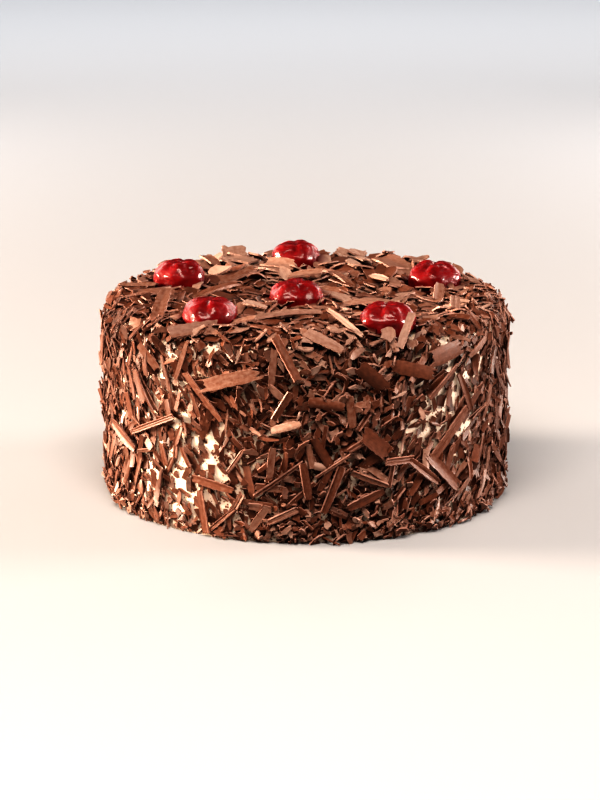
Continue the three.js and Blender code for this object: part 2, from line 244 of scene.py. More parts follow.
class Skin:
    """The round outside of the cake under the shavings: side, shoulder and top."""

    def __init__(self, radius, height, shoulder):
        self.radius = radius
        self.height = height
        self.shoulder = shoulder
        self.side = height - shoulder
        self.rim = radius - shoulder
        self.over = shoulder * math.pi / 2
        self.full_climb = self.side + self.over + self.rim

    def place(self, azimuth, climb):
        """The point there, and the directions up the skin, round the cake and outwards."""
        turn = min(max((climb - self.side) / self.shoulder, 0), math.pi / 2)
        inwards = max(0, climb - self.side - self.over)
        radius = self.rim + self.shoulder * math.cos(turn) - inwards
        height = min(climb, self.side) + self.shoulder * math.sin(turn)
        out = np.array([math.sin(azimuth), -math.cos(azimuth), 0])
        around = np.array([math.cos(azimuth), math.sin(azimuth), 0])
        top = np.array([0, 0, 1])
        point = out * radius + top * height
        normal = out * math.cos(turn) + top * math.sin(turn)
        up = top * math.cos(turn) - out * math.sin(turn)
        return point, up, around, normal

    def locate(self, points):
        """Azimuth, climb and height over the skin of each point."""
        reach = np.hypot(points[:, 0], points[:, 1])
        azimuth = np.arctan2(points[:, 0], -points[:, 1])
        past_rim = reach - self.rim
        past_side = points[:, 2] - self.side
        on_side = past_side <= 0
        on_top = ~on_side & (past_rim <= 0)
        turn = np.arctan2(np.maximum(past_side, 0), np.maximum(past_rim, 1e-6))
        round_away = np.hypot(past_rim, past_side) - self.shoulder
        top_away = points[:, 2] - self.height
        away = np.where(on_side, reach - self.radius, np.where(on_top, top_away, round_away))
        beyond = np.where(on_top, self.side + self.over - past_rim, self.side + self.shoulder * turn)
        return azimuth, np.where(on_side, points[:, 2], beyond), away


class Bed:
    """How high the shavings already lie over each patch of the skin, laid out flat as a disc."""

    PATCH = 0.6
    SPARE = 12  # patches beyond the foot of the side

    def __init__(self, skin):
        self.skin = skin
        self.half = int(skin.full_climb / self.PATCH) + self.SPARE
        self.heights = np.zeros((2 * self.half, 2 * self.half))

    def patches(self, azimuth, climb):
        reach = np.maximum(self.skin.full_climb - climb, 0) / self.PATCH
        across = np.clip(reach * np.sin(azimuth) + self.half, 0, 2 * self.half - 1)
        along = np.clip(reach * np.cos(azimuth) + self.half, 0, 2 * self.half - 1)
        return across.astype(int), along.astype(int)

    def read(self, azimuth, climb):
        return self.heights[self.patches(azimuth, climb)]

    def raise_to(self, azimuth, climb, heights):
        where = self.patches(azimuth, climb)
        self.heights[where] = np.maximum(self.heights[where], heights)


# ---- shavings -----------------------------------------------------------------------------


class Template:
    """A flat shaving one long, one wide and one thick, that is copied with its own size and bend."""

    WALL = 0.3  # a face whose normal rises less than this is part of the broken edge, which takes the painted edge highlight

    def __init__(self, shape, outline, ridges=(0,)):
        bmesh.ops.triangulate(shape, faces=shape.faces[:])
        bmesh.ops.recalc_face_normals(shape, faces=shape.faces[:])
        shape.verts.index_update()
        self.corners = np.array([v.co[:] for v in shape.verts])
        self.triangles = np.array([[v.index for v in f.verts] for f in shape.faces])
        self.broken_edge_highlight = np.array([1.0 if abs(f.normal.z) < self.WALL else 0.0 for f in shape.faces])
        self.corners[:, 2] += np.interp(self.corners[:, 1], np.linspace(-0.5, 0.5, len(ridges)), ridges)
        self.outline = np.array(outline)
        self.lattices = {}
        shape.free()

    def feelers(self, columns, rows):
        """Points spread evenly inside the outline, which feel what lies under the shaving."""
        if (columns, rows) not in self.lattices:
            x, y = np.meshgrid(
                (np.arange(columns) + 0.5) / columns - 0.5, (np.arange(rows) + 0.5) / rows - 0.5
            )
            points = np.stack([x.ravel(), y.ravel(), np.zeros(x.size)], 1)
            inside = np.ones(len(points), bool)
            for a, b in zip(self.outline, np.roll(self.outline, -1, 0)):
                step = b - a
                off = points[:, :2] - a
                inside &= step[0] * off[:, 1] - step[1] * off[:, 0] >= -1e-6
            self.lattices[columns, rows] = points[inside]
        return self.lattices[columns, rows]


# How plates are broken: the angle of each break from the length, how far that may be off, and how
# near the middle and how far from it the break may run.
SLANTED_ENDS = ((0, 0.9, 0.2, 0.34), (math.pi, 0.9, 0.2, 0.34))
ONE_LONG_SIDE = ((math.pi / 2, 0.35, 0.1, 0.3),)
ONE_END = ((0, 1.2, 0.2, 0.45),)
ANYWHERE = ((0, math.pi, 0.2, 0.42),)


def thicken(shape, faces):
    """Makes a flat shape one thick."""
    raised = bmesh.ops.extrude_face_region(shape, geom=faces)["geom"]
    corners = [element for element in raised if isinstance(element, bmesh.types.BMVert)]
    bmesh.ops.translate(shape, verts=corners, vec=(0, 0, 1))


def plate(rng, segments, breaks, teeth, nicks, narrowing=0.0):
    """A thin plate with straight breaks, teeth along its longest edges and nicks at its corners."""
    shape = bmesh.new()
    bmesh.ops.create_circle(shape, cap_ends=True, segments=segments, radius=0.5)
    upright = Matrix.Rotation(math.pi / segments, 3, "Z")
    bmesh.ops.rotate(shape, verts=shape.verts[:], cent=(0, 0, 0), matrix=upright)
    for angle, off, near, far in breaks:
        angle += rng.uniform(-off, off)
        direction = Vector((math.cos(angle), math.sin(angle), 0))
        bmesh.ops.bisect_plane(
            shape,
            geom=shape.verts[:] + shape.edges[:] + shape.faces[:],
            plane_co=direction * rng.uniform(near, far),
            plane_no=direction,
            clear_outer=True,
        )
    longest = sorted(shape.edges, key=lambda e: e.calc_length())[-4:]
    bmesh.ops.subdivide_edges(shape, edges=longest, cuts=teeth)
    low = Vector([min(v.co[i] for v in shape.verts) for i in range(3)])
    high = Vector([max(v.co[i] for v in shape.verts) for i in range(3)])
    bmesh.ops.translate(shape, verts=shape.verts[:], vec=-(low + high) / 2)
    bmesh.ops.scale(shape, verts=shape.verts[:], vec=(1 / (high.x - low.x), 1 / (high.y - low.y), 1))
    for v in shape.verts:
        v.co.y *= 1 - narrowing * (2 * v.co.x) ** 2
    (face,) = shape.faces
    face.normal_update()
    if face.normal.z < 0:
        face.normal_flip()
    outline = [v.co.to_2d()[:] for v in face.verts]
    for v in shape.verts:
        v.co.x *= 1 - rng.uniform(0, nicks)
        v.co.y *= 1 - rng.uniform(0, nicks * 1.7)
    thicken(shape, [face])
    return Template(shape, outline)


NICKED = 0.16  # how deep the long sides of a ribbon are nicked, as a share of its half width


def ribbon(rng, columns, rows, ragged, ridge=0.3, narrowest=0.6):
    """A strip with torn ends, nicked sides and shallow ridges along it."""
    shape = bmesh.new()
    bmesh.ops.create_grid(shape, x_segments=columns, y_segments=rows, size=0.5)
    torn = rng.uniform(-ragged, ragged * 0.4, (2, rows + 1))
    nicked = 1 - rng.uniform(0, NICKED, (2, columns + 1))
    narrow = rng.uniform(narrowest, 1, 2)
    for v in shape.verts:
        row = round((v.co.y + 0.5) * rows)
        column = round((v.co.x + 0.5) * columns)
        end = int(v.co.x > 0)
        far = abs(2 * v.co.x)
        v.co.x += math.copysign(torn[end][row] * far**6, v.co.x)
        v.co.y *= (1 - (1 - narrow[end]) * far**3) * nicked[int(v.co.y > 0)][column]
    thicken(shape, shape.faces[:])
    box = [(-0.5, -0.5), (0.5, -0.5), (0.5, 0.5), (-0.5, 0.5)]
    return Template(shape, box, rng.uniform(-ridge, ridge, rows + 1))


def crumb(rng):
    """A small lump."""
    shape = bmesh.new()
    bmesh.ops.create_icosphere(shape, subdivisions=1, radius=0.5)
    for v in shape.verts:
        v.co *= rng.uniform(0.7, 1.1)
    bmesh.ops.translate(shape, verts=shape.verts[:], vec=(0, 0, 0.5))
    ring = [(0.45 * math.cos(a), 0.45 * math.sin(a)) for a in np.linspace(0, 2 * math.pi, 9)[:-1]]
    return Template(shape, ring)


NEARLY_STRAIGHT = 0.02  # radians, below which a shaving isn't bent


def arched(along, height, size, angle):
    """Lengths and heights after bending them to an arc of that angle."""
    if abs(angle) <= NEARLY_STRAIGHT:
        return along, height
    radius = size / angle
    turn = along / radius
    return (radius - height) * np.sin(turn), radius - (radius - height) * np.cos(turn)


def bend(points, length, width, thickness, bow, roll, twist):
    """Gives template points their size, rolls them across the width and bows them lengthwise."""
    x, y, z = points[:, 0] * length, points[:, 1] * width, points[:, 2] * thickness
    y, z = arched(y, z, width, roll)
    x, z = arched(x, z, length, bow)
    turn = twist * points[:, 0]
    y, z = y * np.cos(turn) - z * np.sin(turn), y * np.sin(turn) + z * np.cos(turn)
    return np.stack([x, y, z], 1)


def turned(along, across, normal, pitch, roll):
    """The three directions after lifting the far end by pitch and one long edge by roll."""
    along, normal = along * math.cos(pitch) + normal * math.sin(pitch), (
        normal * math.cos(pitch) - along * math.sin(pitch)
    )
    across, normal = across * math.cos(roll) + normal * math.sin(roll), (
        normal * math.cos(roll) - across * math.sin(roll)
    )
    return np.stack([along, across, normal])


def pointed(heading, pitch, roll):
    """The three directions of a shaving that points along heading, lifted by pitch and roll."""
    along = np.array([math.cos(heading), math.sin(heading), 0])
    across = np.array([-math.sin(heading), math.cos(heading), 0])
    return turned(along, across, np.array([0, 0, 1.0]), pitch, roll)


CREASE = 34  # edges bent more than this many degrees are sharp


class Heap:
    """Shavings of one kind, gathered into one mesh, with how pale they are, painted shade included, and how
    soaked.
    """

    def __init__(self, name):
        self.name = name
        self.corners, self.triangles, self.broken_edge_highlight = [], [], []
        self.tone, self.stain, self.grain = [], [], []
        self.count = 0

    def add(self, template, points, grain, tone, stain):
        self.corners.append(points)
        self.triangles.append(template.triangles + self.count)
        self.broken_edge_highlight.append(template.broken_edge_highlight)
        self.tone.append(np.full(len(points), tone))
        self.stain.append(stain)
        self.grain.append(grain)
        self.count += len(points)

    def piece(self, look):
        corners = np.concatenate(self.corners) * MM
        triangles = np.concatenate(self.triangles).astype(np.int32)
        mesh = bpy.data.meshes.new(self.name)
        mesh.vertices.add(len(corners))
        mesh.vertices.foreach_set("co", corners.ravel())
        mesh.loops.add(triangles.size)
        mesh.loops.foreach_set("vertex_index", triangles.ravel())
        mesh.polygons.add(len(triangles))
        mesh.polygons.foreach_set("loop_start", np.arange(0, triangles.size, 3, dtype=np.int32))
        for name, domain in (("broken_edge_highlight", "FACE"), ("tone", "POINT"), ("stain", "POINT")):
            values = np.concatenate(getattr(self, name)).astype(np.float32)
            mesh.attributes.new(name, "FLOAT", domain).data.foreach_set("value", values)
        grain = np.concatenate(self.grain)[triangles.ravel()]
        uv = mesh.uv_layers.new(name="grain")
        uv.data.foreach_set("uv", grain.astype(np.float32).ravel())
        mesh.update(calc_edges=True)
        mesh.validate()
        mesh.set_sharp_from_angle(angle=math.radians(CREASE))
        return show(mesh, look)


def show(mesh, look):
    """Puts a finished mesh in the scene as a piece of the cake."""
    mesh.materials.append(look)
    piece = bpy.data.objects.new(mesh.name, mesh)
    bpy.context.scene.collection.objects.link(piece)
    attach(piece, "root")
    return piece


# Spans of the leans on the side in degrees, each up to that azimuth, between these climbs.
LEANS = [(-52, (-34, 30)), (-16, (-72, 24)), (22, (-90, 90)), (60, (-4, 70)), (180, (-32, 36))]
FANNED_OUT = 115  # degrees from the front
FANNED_CLIMBS = (9, 84)
ANY_LEAN = (-90, 90)
WILD_SHARE = 0.16

# Where the shavings lie in a jumble: middle and half-width.
JUMBLED_FRONT = (14, 30)  # degrees
JUMBLED_FOOT = (3, 5)  # climb
JUMBLED_RIM = (94, 9)  # climb
JUMBLED_BACK = 100  # from here on, degrees either way
JUMBLE_AT_FOOT = 0.5  # how much of one there
JUMBLE_AT_BACK = 0.4

# Where cream shows: how much, and middle and half-width in degrees and in height.
BARE_PATCHES = [
    (0.82, (-40, 26), (44, 44)),
    (1.25, (46, 16), (54, 38)),
    (1.0, (-30, 17), (18, 17)),
    (0.45, (14, 18), (38, 22)),
]
BARE_BACK = 62  # a little bare from here on, degrees either way
BARE_AT_BACK = 0.22
PATCHES_PER = (0.5, 0.34)  # patches of cream in a degree and in a mm
PATCHY = 0.45  # how much the bareness comes and goes with them

OVER_RIM = 4  # how far past the flat of the top its shavings may start
EVEN_STEPS = (0.7548777, 0.5698403)  # one over the plastic number, and the square of that


class Layer:
    """Lays shavings on the bed, each on what is already there."""

    FEELER_STEP = 0.45
    STEEPEST = 0.55  # the slope up to which a shaving follows what lies under it
    ROCKING = 1.4  # how much looser it lies across than along
    COVERED = 0.2  # from this height of the bed on, a patch counts as taken
    TALLEST = 6.5  # how far over the cream a shaving may reach
    BY_CHERRY = 5  # this close to a cherry it may reach less far
    TALL_BY_CHERRY = 5.4
    INTO_CHERRY = 2.2  # how far a cherry may be pressed into by a shaving
    JUICE_REACH = 3.5  # how far from a cherry the shavings are soaked
    OFF_FLOOR = 0.05
    GRAIN_SPAN = 400  # how far apart the grain of two shavings may start

    def __init__(self, bed, cherries, seed):
        self.bed = bed
        self.skin = bed.skin
        self.cherries = cherries
        self.rng = np.random.default_rng(seed)

    def stain(self, points):
        """How soaked with juice each point is, from 0 to 1."""
        near = np.full(len(points), np.inf)
        for x, y, radius in self.cherries:
            near = np.minimum(near, np.hypot(points[:, 0] - x, points[:, 1] - y) - radius)
        high = points[:, 2] > self.skin.side
        return np.where(high, np.clip(1 - near / self.JUICE_REACH, 0, 1), 0)

    def meets_cherry(self, points):
        """Whether any point is inside a cherry, or stands up close in front of one."""
        high = points[:, 2] > self.skin.side
        tall = points[:, 2] > CORE_HEIGHT + self.TALL_BY_CHERRY
        for x, y, radius in self.cherries:
            away = np.hypot(points[:, 0] - x, points[:, 1] - y) - radius
            if (high & (away < -self.INTO_CHERRY)).any() or (tall & (away < self.BY_CHERRY)).any():
                return True
        return False

    def lay(
        self, heap, template, azimuth, climb, lean, size, form, loosely, press, tone, pitch=0.0,
        crowd=1.0, tallest=TALLEST,
    ):
        """Lays one shaving and raises the bed under it, unless a cherry is in the way or more of
        its place is taken than the share in crowd. Press is the share of it, in percent, that
        clears what lies under it, and the rest sinks in."""
        rng = self.rng
        length, width, thickness = size
        columns = max(3, math.ceil(length / self.FEELER_STEP))
        rows = max(2, math.ceil(width / self.FEELER_STEP))
        feelers = template.feelers(columns, rows)
        under = bend(feelers, length, width, thickness, *form)
        point, up, around, normal = self.skin.place(azimuth, climb)
        along = up * math.cos(lean) + around * math.sin(lean)
        across = np.cross(normal, along)
        flat = np.stack([along, across, normal])
        start = point + under @ flat
        where = self.skin.locate(start)
        taken = self.bed.read(*where[:2])
        if (taken > self.COVERED).mean() > crowd:
            return
        gap = taken - where[2]
        fit = np.stack([np.ones(len(under)), under[:, 0], under[:, 1]], 1)
        _, slope_x, slope_y = np.linalg.lstsq(fit, gap, rcond=None)[0]
        slope_x = min(max(slope_x, -self.STEEPEST), self.STEEPEST) + rng.normal(0, loosely) + pitch
        slope_y = min(max(slope_y, -self.STEEPEST), self.STEEPEST) + rng.normal(0, loosely * self.ROCKING)
        turned_so = turned(along, across, normal, math.atan(slope_x), math.atan(slope_y))
        laid = point + under @ turned_so
        azimuths, climbs, away = self.skin.locate(laid)
        lift = np.percentile(self.bed.read(azimuths, climbs) - away, press)
        laid = laid + normal * lift
        corners = bend(template.corners, length, width, thickness, *form) @ turned_so
        corners += point + normal * lift
        corners[:, 2] += max(0, self.OFF_FLOOR - corners[:, 2].min())
        if self.meets_cherry(corners) or self.skin.locate(corners)[2].max() > tallest:
            return
        self.bed.raise_to(azimuths, climbs, away + lift + thickness)
        heap.add(template, corners, self.grain(template, length, width), tone, self.stain(corners))

    def grain(self, template, length, width):
        """Where each corner lies in the block that the shaving was planed off."""
        return template.corners[:, :2] * (length, width) + self.rng.uniform(0, self.GRAIN_SPAN, 2)

    def side_spots(self, count, low, high):
        """Degrees and climbs spread evenly over a band of the side, then nudged."""
        rounds, heights = even_spread(count)
        nudge = 1 / math.sqrt(count)
        rounds = (rounds + self.rng.uniform(-nudge, nudge, count)) % 1
        heights = np.abs(heights + self.rng.uniform(-nudge, nudge, count))
        return zip(rounds * 360 - 180, low + heights * (high - low))

    def top_spots(self, count):
        """Degrees and climbs spread evenly over the top, like the seeds of a sunflower."""
        reach = (self.skin.rim + OVER_RIM) * np.sqrt((np.arange(count) + 0.5) / count)
        reach = np.abs(reach + self.rng.uniform(-1, 1, count) * self.skin.rim / math.sqrt(count))
        degrees = np.degrees(np.arange(count) * math.pi * (3 - math.sqrt(5)))
        return zip((degrees + 180) % 360 - 180, self.skin.full_climb - reach)

    def lean_at(self, degrees, climb):
        """Upright at the far left and right, fanning out towards the front, any way elsewhere."""
        low, high = ANY_LEAN
        if abs(degrees) <= FANNED_OUT and FANNED_CLIMBS[0] <= climb <= FANNED_CLIMBS[1]:
            low, high = next(span for end, span in LEANS if degrees < end)
        if self.rng.random() < WILD_SHARE:
            low, high = ANY_LEAN
        return math.radians(self.rng.uniform(low, high))


def even_spread(count):
    """Points from 0 to 1 both ways that cover a square evenly."""
    i = np.arange(count)
    return (0.5 + i * EVEN_STEPS[0]) % 1, (0.5 + i * EVEN_STEPS[1]) % 1


def on_top(skin, x, y, heading):
    """Azimuth, climb and lean of a shaving on the top, from its place and heading."""
    azimuth = math.atan2(x, -y)
    return azimuth, skin.full_climb - math.hypot(x, y), heading - azimuth + math.pi / 2


def bump_over(value, middle, width):
    return math.exp(-(((value - middle) / width) ** 2))


def mess(degrees, climb):
    """From 0 where the shavings lie flat and apart to 1 where they lie in a jumble."""
    jumbled = bump_over(degrees, *JUMBLED_FRONT) + bump_over(climb, *JUMBLED_FOOT) * JUMBLE_AT_FOOT
    jumbled += bump_over(climb, *JUMBLED_RIM)
    if abs(degrees) > JUMBLED_BACK:
        jumbled += JUMBLE_AT_BACK
    return min(jumbled, 1)


def bareness(degrees, height):
    """The share of shavings left out where the cream is let show."""
    bare = sum(
        much * bump_over(degrees, *across) * bump_over(height, *up) for much, across, up in BARE_PATCHES
    )
    if abs(degrees) > BARE_BACK:
        bare += BARE_AT_BACK
    patch = noise.noise(Vector((degrees * PATCHES_PER[0], height * PATCHES_PER[1], 3.0)))
    return min(max(bare * (1 + PATCHY * patch), 0), 1)


# ---- looks --------------------------------------------------------------------------------


# Sizes of the patterns. The grain of a shaving is measured in mm, and object coordinates in metres.
PLANE_MARK = (4, 2 / 3)  # length and spacing of the marks that a plane leaves, in mm
MOTTLES_PER_MM = 0.55
CHOCOLATE_SPECKS_PER_M = 620  # about 1.6 mm apart, coarser than real dust so that they show
SPECKLED_PATCHES_PER_M = 210  # about 5 mm across
BUBBLES_PER_M = 900  # about 1 mm apart, coarser than real ones so that they show
FLESH_CLOUDS_PER_M = 170  # about 6 mm across
WRINKLES_PER_M = 520  # about 2 mm apart
DARKER_FLESH = 0.55  # how light the dark clouds in a cherry are against the rest
NOISE_SPAN = {"From Min": 0.3, "From Max": 0.7}  # between these lies most of a noise


def add(tree, kind, settings=None, links=None):
    """Adds one shader node, sets its sockets and properties, and links its inputs."""
    made = tree.nodes.new(kind)
    for name, value in (settings or {}).items():
        if isinstance(name, int) or name in made.inputs:
            made.inputs[name].default_value = value
        else:
            setattr(made, name, value)
    for name, source in (links or {}).items():
        tree.links.new(source, made.inputs[name])
    return made


def new_look(name):
    look = bpy.data.materials.new(name)
    look.use_nodes = True
    look.node_tree.nodes.clear()
    return look, look.node_tree


def opaque(colour):
    return (*colour, 1.0)


def finish_look(tree, shader):
    add(tree, "ShaderNodeOutputMaterial", links={"Surface": shader.outputs["BSDF"]})


def shaved_chocolate(colours):
    """Couverture planed off a block: satin faces with fine plane marks, and broken edges painted paler as a
    highlight where light catches them.
    """
    look, tree = new_look("shaved_milk_chocolate")
    tone, broken_edge_highlight, stain = (
        add(tree, "ShaderNodeAttribute", {"attribute_name": name}).outputs["Fac"]
        for name in ("tone", "broken_edge_highlight", "stain")
    )
    grain = add(tree, "ShaderNodeUVMap", {"uv_map": "grain"}).outputs["UV"]
    along = add(
        tree, "ShaderNodeMapping", {"Scale": (1 / PLANE_MARK[0], 1 / PLANE_MARK[1], 1)}, {"Vector": grain}
    )
    marks = add(
        tree,
        "ShaderNodeTexNoise",
        {"Scale": 1.0, "Detail": 3.0, "Roughness": 0.6},
        {"Vector": along.outputs[0]},
    )
    mottle = add(tree, "ShaderNodeTexNoise", {"Scale": MOTTLES_PER_MM, "Detail": 3.0}, {"Vector": grain})
    shifts = [
        add(
            tree,
            "ShaderNodeMapRange",
            {**NOISE_SPAN, "To Min": -reach, "To Max": reach},
            {"Value": pattern.outputs["Fac"]},
        )
        for pattern, reach in ((marks, 0.05), (mottle, 0.1))
    ]
    summed = add(
        tree, "ShaderNodeMath", {"operation": "ADD"}, {i: shift.outputs[0] for i, shift in enumerate(shifts)}
    )
    shade = add(tree, "ShaderNodeMath", {"operation": "ADD"}, {0: tone, 1: summed.outputs[0]})
    ramp = add(tree, "ShaderNodeValToRGB", links={"Fac": shade.outputs[0]})
    stops = ramp.color_ramp.elements
    stops[0].position, stops[0].color = 0.0, opaque(colours.dark)
    stops[1].position, stops[1].color = 1.0, opaque(colours.pale)
    middle = stops.new(0.5)
    middle.color = opaque(colours.milk)
    # painted highlight: the broken edge faces are mixed towards the paler edge colour, more on some than on
    # others
    uneven_highlight = add(
        tree,
        "ShaderNodeMapRange",
        {**NOISE_SPAN, "To Min": 0.15, "To Max": 0.65},
        {"Value": marks.outputs["Fac"]},
    )
    edge_highlight_share = add(
        tree, "ShaderNodeMath", {"operation": "MULTIPLY"}, {0: broken_edge_highlight, 1: uneven_highlight.outputs[0]}
    )
    colour = ramp.outputs["Color"]
    for share, over in ((edge_highlight_share.outputs[0], colours.broken_edge_highlight), (stain, colours.wine)):
        mixed = add(
            tree, "ShaderNodeMix", {"data_type": "RGBA", 7: opaque(over)}, {0: share, 6: colour}
        )
        colour = mixed.outputs[2]
    rough = add(
        tree,
        "ShaderNodeMapRange",
        {"From Min": 0.25, "From Max": 0.75, "To Min": 0.36, "To Max": 0.58},
        {"Value": mottle.outputs["Fac"]},
    )
    bump = add(
        tree,
        "ShaderNodeBump",
        {"Strength": 0.3, "Distance": 0.0003},
        {"Height": marks.outputs["Fac"]},
    )
    shader = add(
        tree,
        "ShaderNodeBsdfPrincipled",
        {"IOR": 1.45, "Specular IOR Level": 0.22},
        {"Base Color": colour, "Roughness": rough.outputs[0], "Normal": bump.outputs[0]},
    )
    finish_look(tree, shader)
    return look


def whipped_cream(colours):
    """Cream whipped stiff and spread with a palette knife: soft, matte, full of tiny bubbles."""
    look, tree = new_look("whipped_cream")
    place = add(tree, "ShaderNodeTexCoord").outputs["Object"]
    dust = add(tree, "ShaderNodeTexVoronoi", {"Scale": CHOCOLATE_SPECKS_PER_M}, {"Vector": place})
    patch = add(
        tree, "ShaderNodeTexNoise", {"Scale": SPECKLED_PATCHES_PER_M, "Detail": 2.0}, {"Vector": place}
    )
    reach = add(
        tree,
        "ShaderNodeMapRange",
        {"From Min": 0.4, "From Max": 0.65, "To Min": 0.08, "To Max": 0.4},
        {"Value": patch.outputs["Fac"]},
    )
    speck = add(
        tree,
        "ShaderNodeMath",
        {"operation": "LESS_THAN"},
        {0: dust.outputs["Distance"], 1: reach.outputs[0]},
    )
    colour = add(
        tree,
        "ShaderNodeMix",
        {"data_type": "RGBA", 6: opaque(colours.cream), 7: opaque(colours.milk)},
        {0: speck.outputs[0]},
    )
    bubbles = add(tree, "ShaderNodeTexNoise", {"Scale": BUBBLES_PER_M, "Detail": 3.0}, {"Vector": place})
    bump = add(
        tree, "ShaderNodeBump", {"Strength": 0.4, "Distance": 0.0004}, {"Height": bubbles.outputs["Fac"]}
    )
    shader = add(
        tree,
        "ShaderNodeBsdfPrincipled",
        {
            "Roughness": 0.55,
            "IOR": 1.4,
            "Subsurface Weight": 0.35,
            "Subsurface Radius": (0.9, 0.7, 0.5),
            "Subsurface Scale": 0.0015,
        },
        {"Base Color": colour.outputs[2], "Normal": bump.outputs[0]},
    )
    finish_look(tree, shader)
    return look


def candied_cherry(colours):
    """A cherry boiled in syrup: dark red flesh that light soaks into under a wet glaze."""
    look, tree = new_look("candied_cherry")
    place = add(tree, "ShaderNodeTexCoord").outputs["Object"]
    flesh = add(tree, "ShaderNodeTexNoise", {"Scale": FLESH_CLOUDS_PER_M, "Detail": 3.0}, {"Vector": place})
    ramp = add(tree, "ShaderNodeValToRGB", links={"Fac": flesh.outputs["Fac"]})
    stops = ramp.color_ramp.elements
    stops[0].position, stops[0].color = 0.3, opaque([part * DARKER_FLESH for part in colours.cherry])
    stops[1].position, stops[1].color = 0.7, opaque(colours.cherry)
    wrinkle = add(
        tree,
        "ShaderNodeTexNoise",
        {"Scale": WRINKLES_PER_M, "Detail": 3.0, "Distortion": 0.8},
        {"Vector": place},
    )
    bump = add(
        tree, "ShaderNodeBump", {"Strength": 0.3, "Distance": 0.0005}, {"Height": wrinkle.outputs["Fac"]}
    )
    shader = add(
        tree,
        "ShaderNodeBsdfPrincipled",
        {
            "Roughness": 0.38,
            "IOR": 1.42,
            "Specular IOR Level": 0.2,
            "Coat Weight": 0.3,
            "Coat Roughness": 0.05,
            "Subsurface Weight": 0.35,
            "Subsurface Radius": (1.0, 0.12, 0.08),
            "Subsurface Scale": 0.005,
        },
        {
            "Base Color": ramp.outputs["Color"],
            "Normal": bump.outputs[0],
            "Coat Normal": bump.outputs[0],
        },
    )
    finish_look(tree, shader)
    return look


def plain_floor(colours):
    """A board painted with matte emulsion: flat, without a highlight."""
    look, tree = new_look("matte_painted_board")
    shader = add(
        tree, "ShaderNodeBsdfPrincipled", {"Base Color": opaque(colours.floor), "Roughness": 0.75}
    )
    finish_look(tree, shader)
    return look


# ---- pieces -------------------------------------------------------------------------------


def cake_skin(sizes):
    return Skin(CORE_RADIUS - sizes.bed_depth, CORE_HEIGHT - sizes.bed_depth - DEEPER_ON_TOP, SHOULDER)


def cherry_radius(low, high):
    return (high[0] - low[0] + high[1] - low[1]) / 4


def cherry_spots():
    """Where each cherry stands and its radius, from the frame."""
    boxes = [box_mm(node) for node in CHERRIES]
    return [(*((low + high) / 2)[:2], cherry_radius(low, high)) for low, high in boxes]


def finished_mesh(name, shape):
    """Turns a shape in millimetres into a smooth mesh in metres."""
    bmesh.ops.scale(shape, verts=shape.verts[:], vec=(MM, MM, MM))
    for face in shape.faces:
        face.smooth = True
    mesh = bpy.data.meshes.new(name)
    shape.to_mesh(mesh)
    shape.free()
    return mesh


# The rings of the cream coat, and its waves.
SIDE_STEP = 2.0
SHOULDER_RINGS = 9
TOP_RINGS = 36
COAT_SEGMENTS = 240
WAVE_LENGTH = 11
WAVE_HEIGHT = 0.45


class CAKE_OT_cream_coat(bpy.types.Operator):
    """Turn the cream coat, wavy as a palette knife leaves it"""

    bl_idname = "cake.cream_coat"
    bl_label = "Cream coat"

    def execute(self, context):
        sizes, colours = context.scene.cake_sizes, context.scene.cake_colours
        skin = cake_skin(sizes)
        shape = bmesh.new()
        side = np.arange(0, skin.side, SIDE_STEP)
        shoulder = np.linspace(skin.side, skin.side + skin.over, SHOULDER_RINGS)
        inner = np.linspace(skin.side + skin.over, skin.full_climb, TOP_RINGS)[1:]
        points = [skin.place(0, climb)[0] for climb in (*side, *shoulder, *inner)]
        corners = [shape.verts.new((0, 0, 0))] + [shape.verts.new((0, p[1], p[2])) for p in points]
        edges = [shape.edges.new(pair) for pair in zip(corners, corners[1:])]
        bmesh.ops.spin(
            shape,
            geom=corners + edges,
            cent=(0, 0, 0),
            axis=(0, 0, 1),
            dvec=(0, 0, 0),
            angle=2 * math.pi,
            steps=COAT_SEGMENTS,
            use_merge=True,
            use_normal_flip=False,
            use_duplicate=False,
        )
        bmesh.ops.remove_doubles(shape, verts=shape.verts[:], dist=0.001)
        for v in shape.verts:
            if v.co.z < 0.01:
                continue
            out = Vector((v.co.x, v.co.y, max(0, v.co.z - skin.side) * 2)).normalized()
            swell = noise.fractal(v.co / WAVE_LENGTH, 1.0, 2.0, 3) * WAVE_HEIGHT
            v.co += out * swell
        bmesh.ops.recalc_face_normals(shape, faces=shape.faces[:])
        piece = show(finished_mesh("cream_coat", shape), whipped_cream(colours))
        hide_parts("cake")
        return {"FINISHED"}


# Which share of the shavings of a pass is laid at each place.
SHARES = {
    "all": lambda degrees, climb: 1,
    "calm": lambda degrees, climb: 1 - 0.55 * mess(degrees, climb),
    "messy": lambda degrees, climb: mess(degrees, climb) ** 1.5,
    "middle": lambda degrees, climb: 0.05 + 0.9 * bump_over(degrees, 20, 22) * bump_over(climb, 56, 28),
    "front": lambda degrees, climb: 0.03 + 0.75 * bump_over(degrees, 10, 26) * bump_over(climb, 32, 22),
    "back": lambda degrees, climb: 1 if abs(degrees) > 112 and climb < 145 else 0,
}
SIDE = (1.5, 92)
FOOT = (0.5, 10)
RIM = (80, 103)
TOP = None

# How far over the cream the shavings of these passes may stand.
STANDING = {"slabs_back": 9.5, "petals": 7.2, "curls": 7.5}

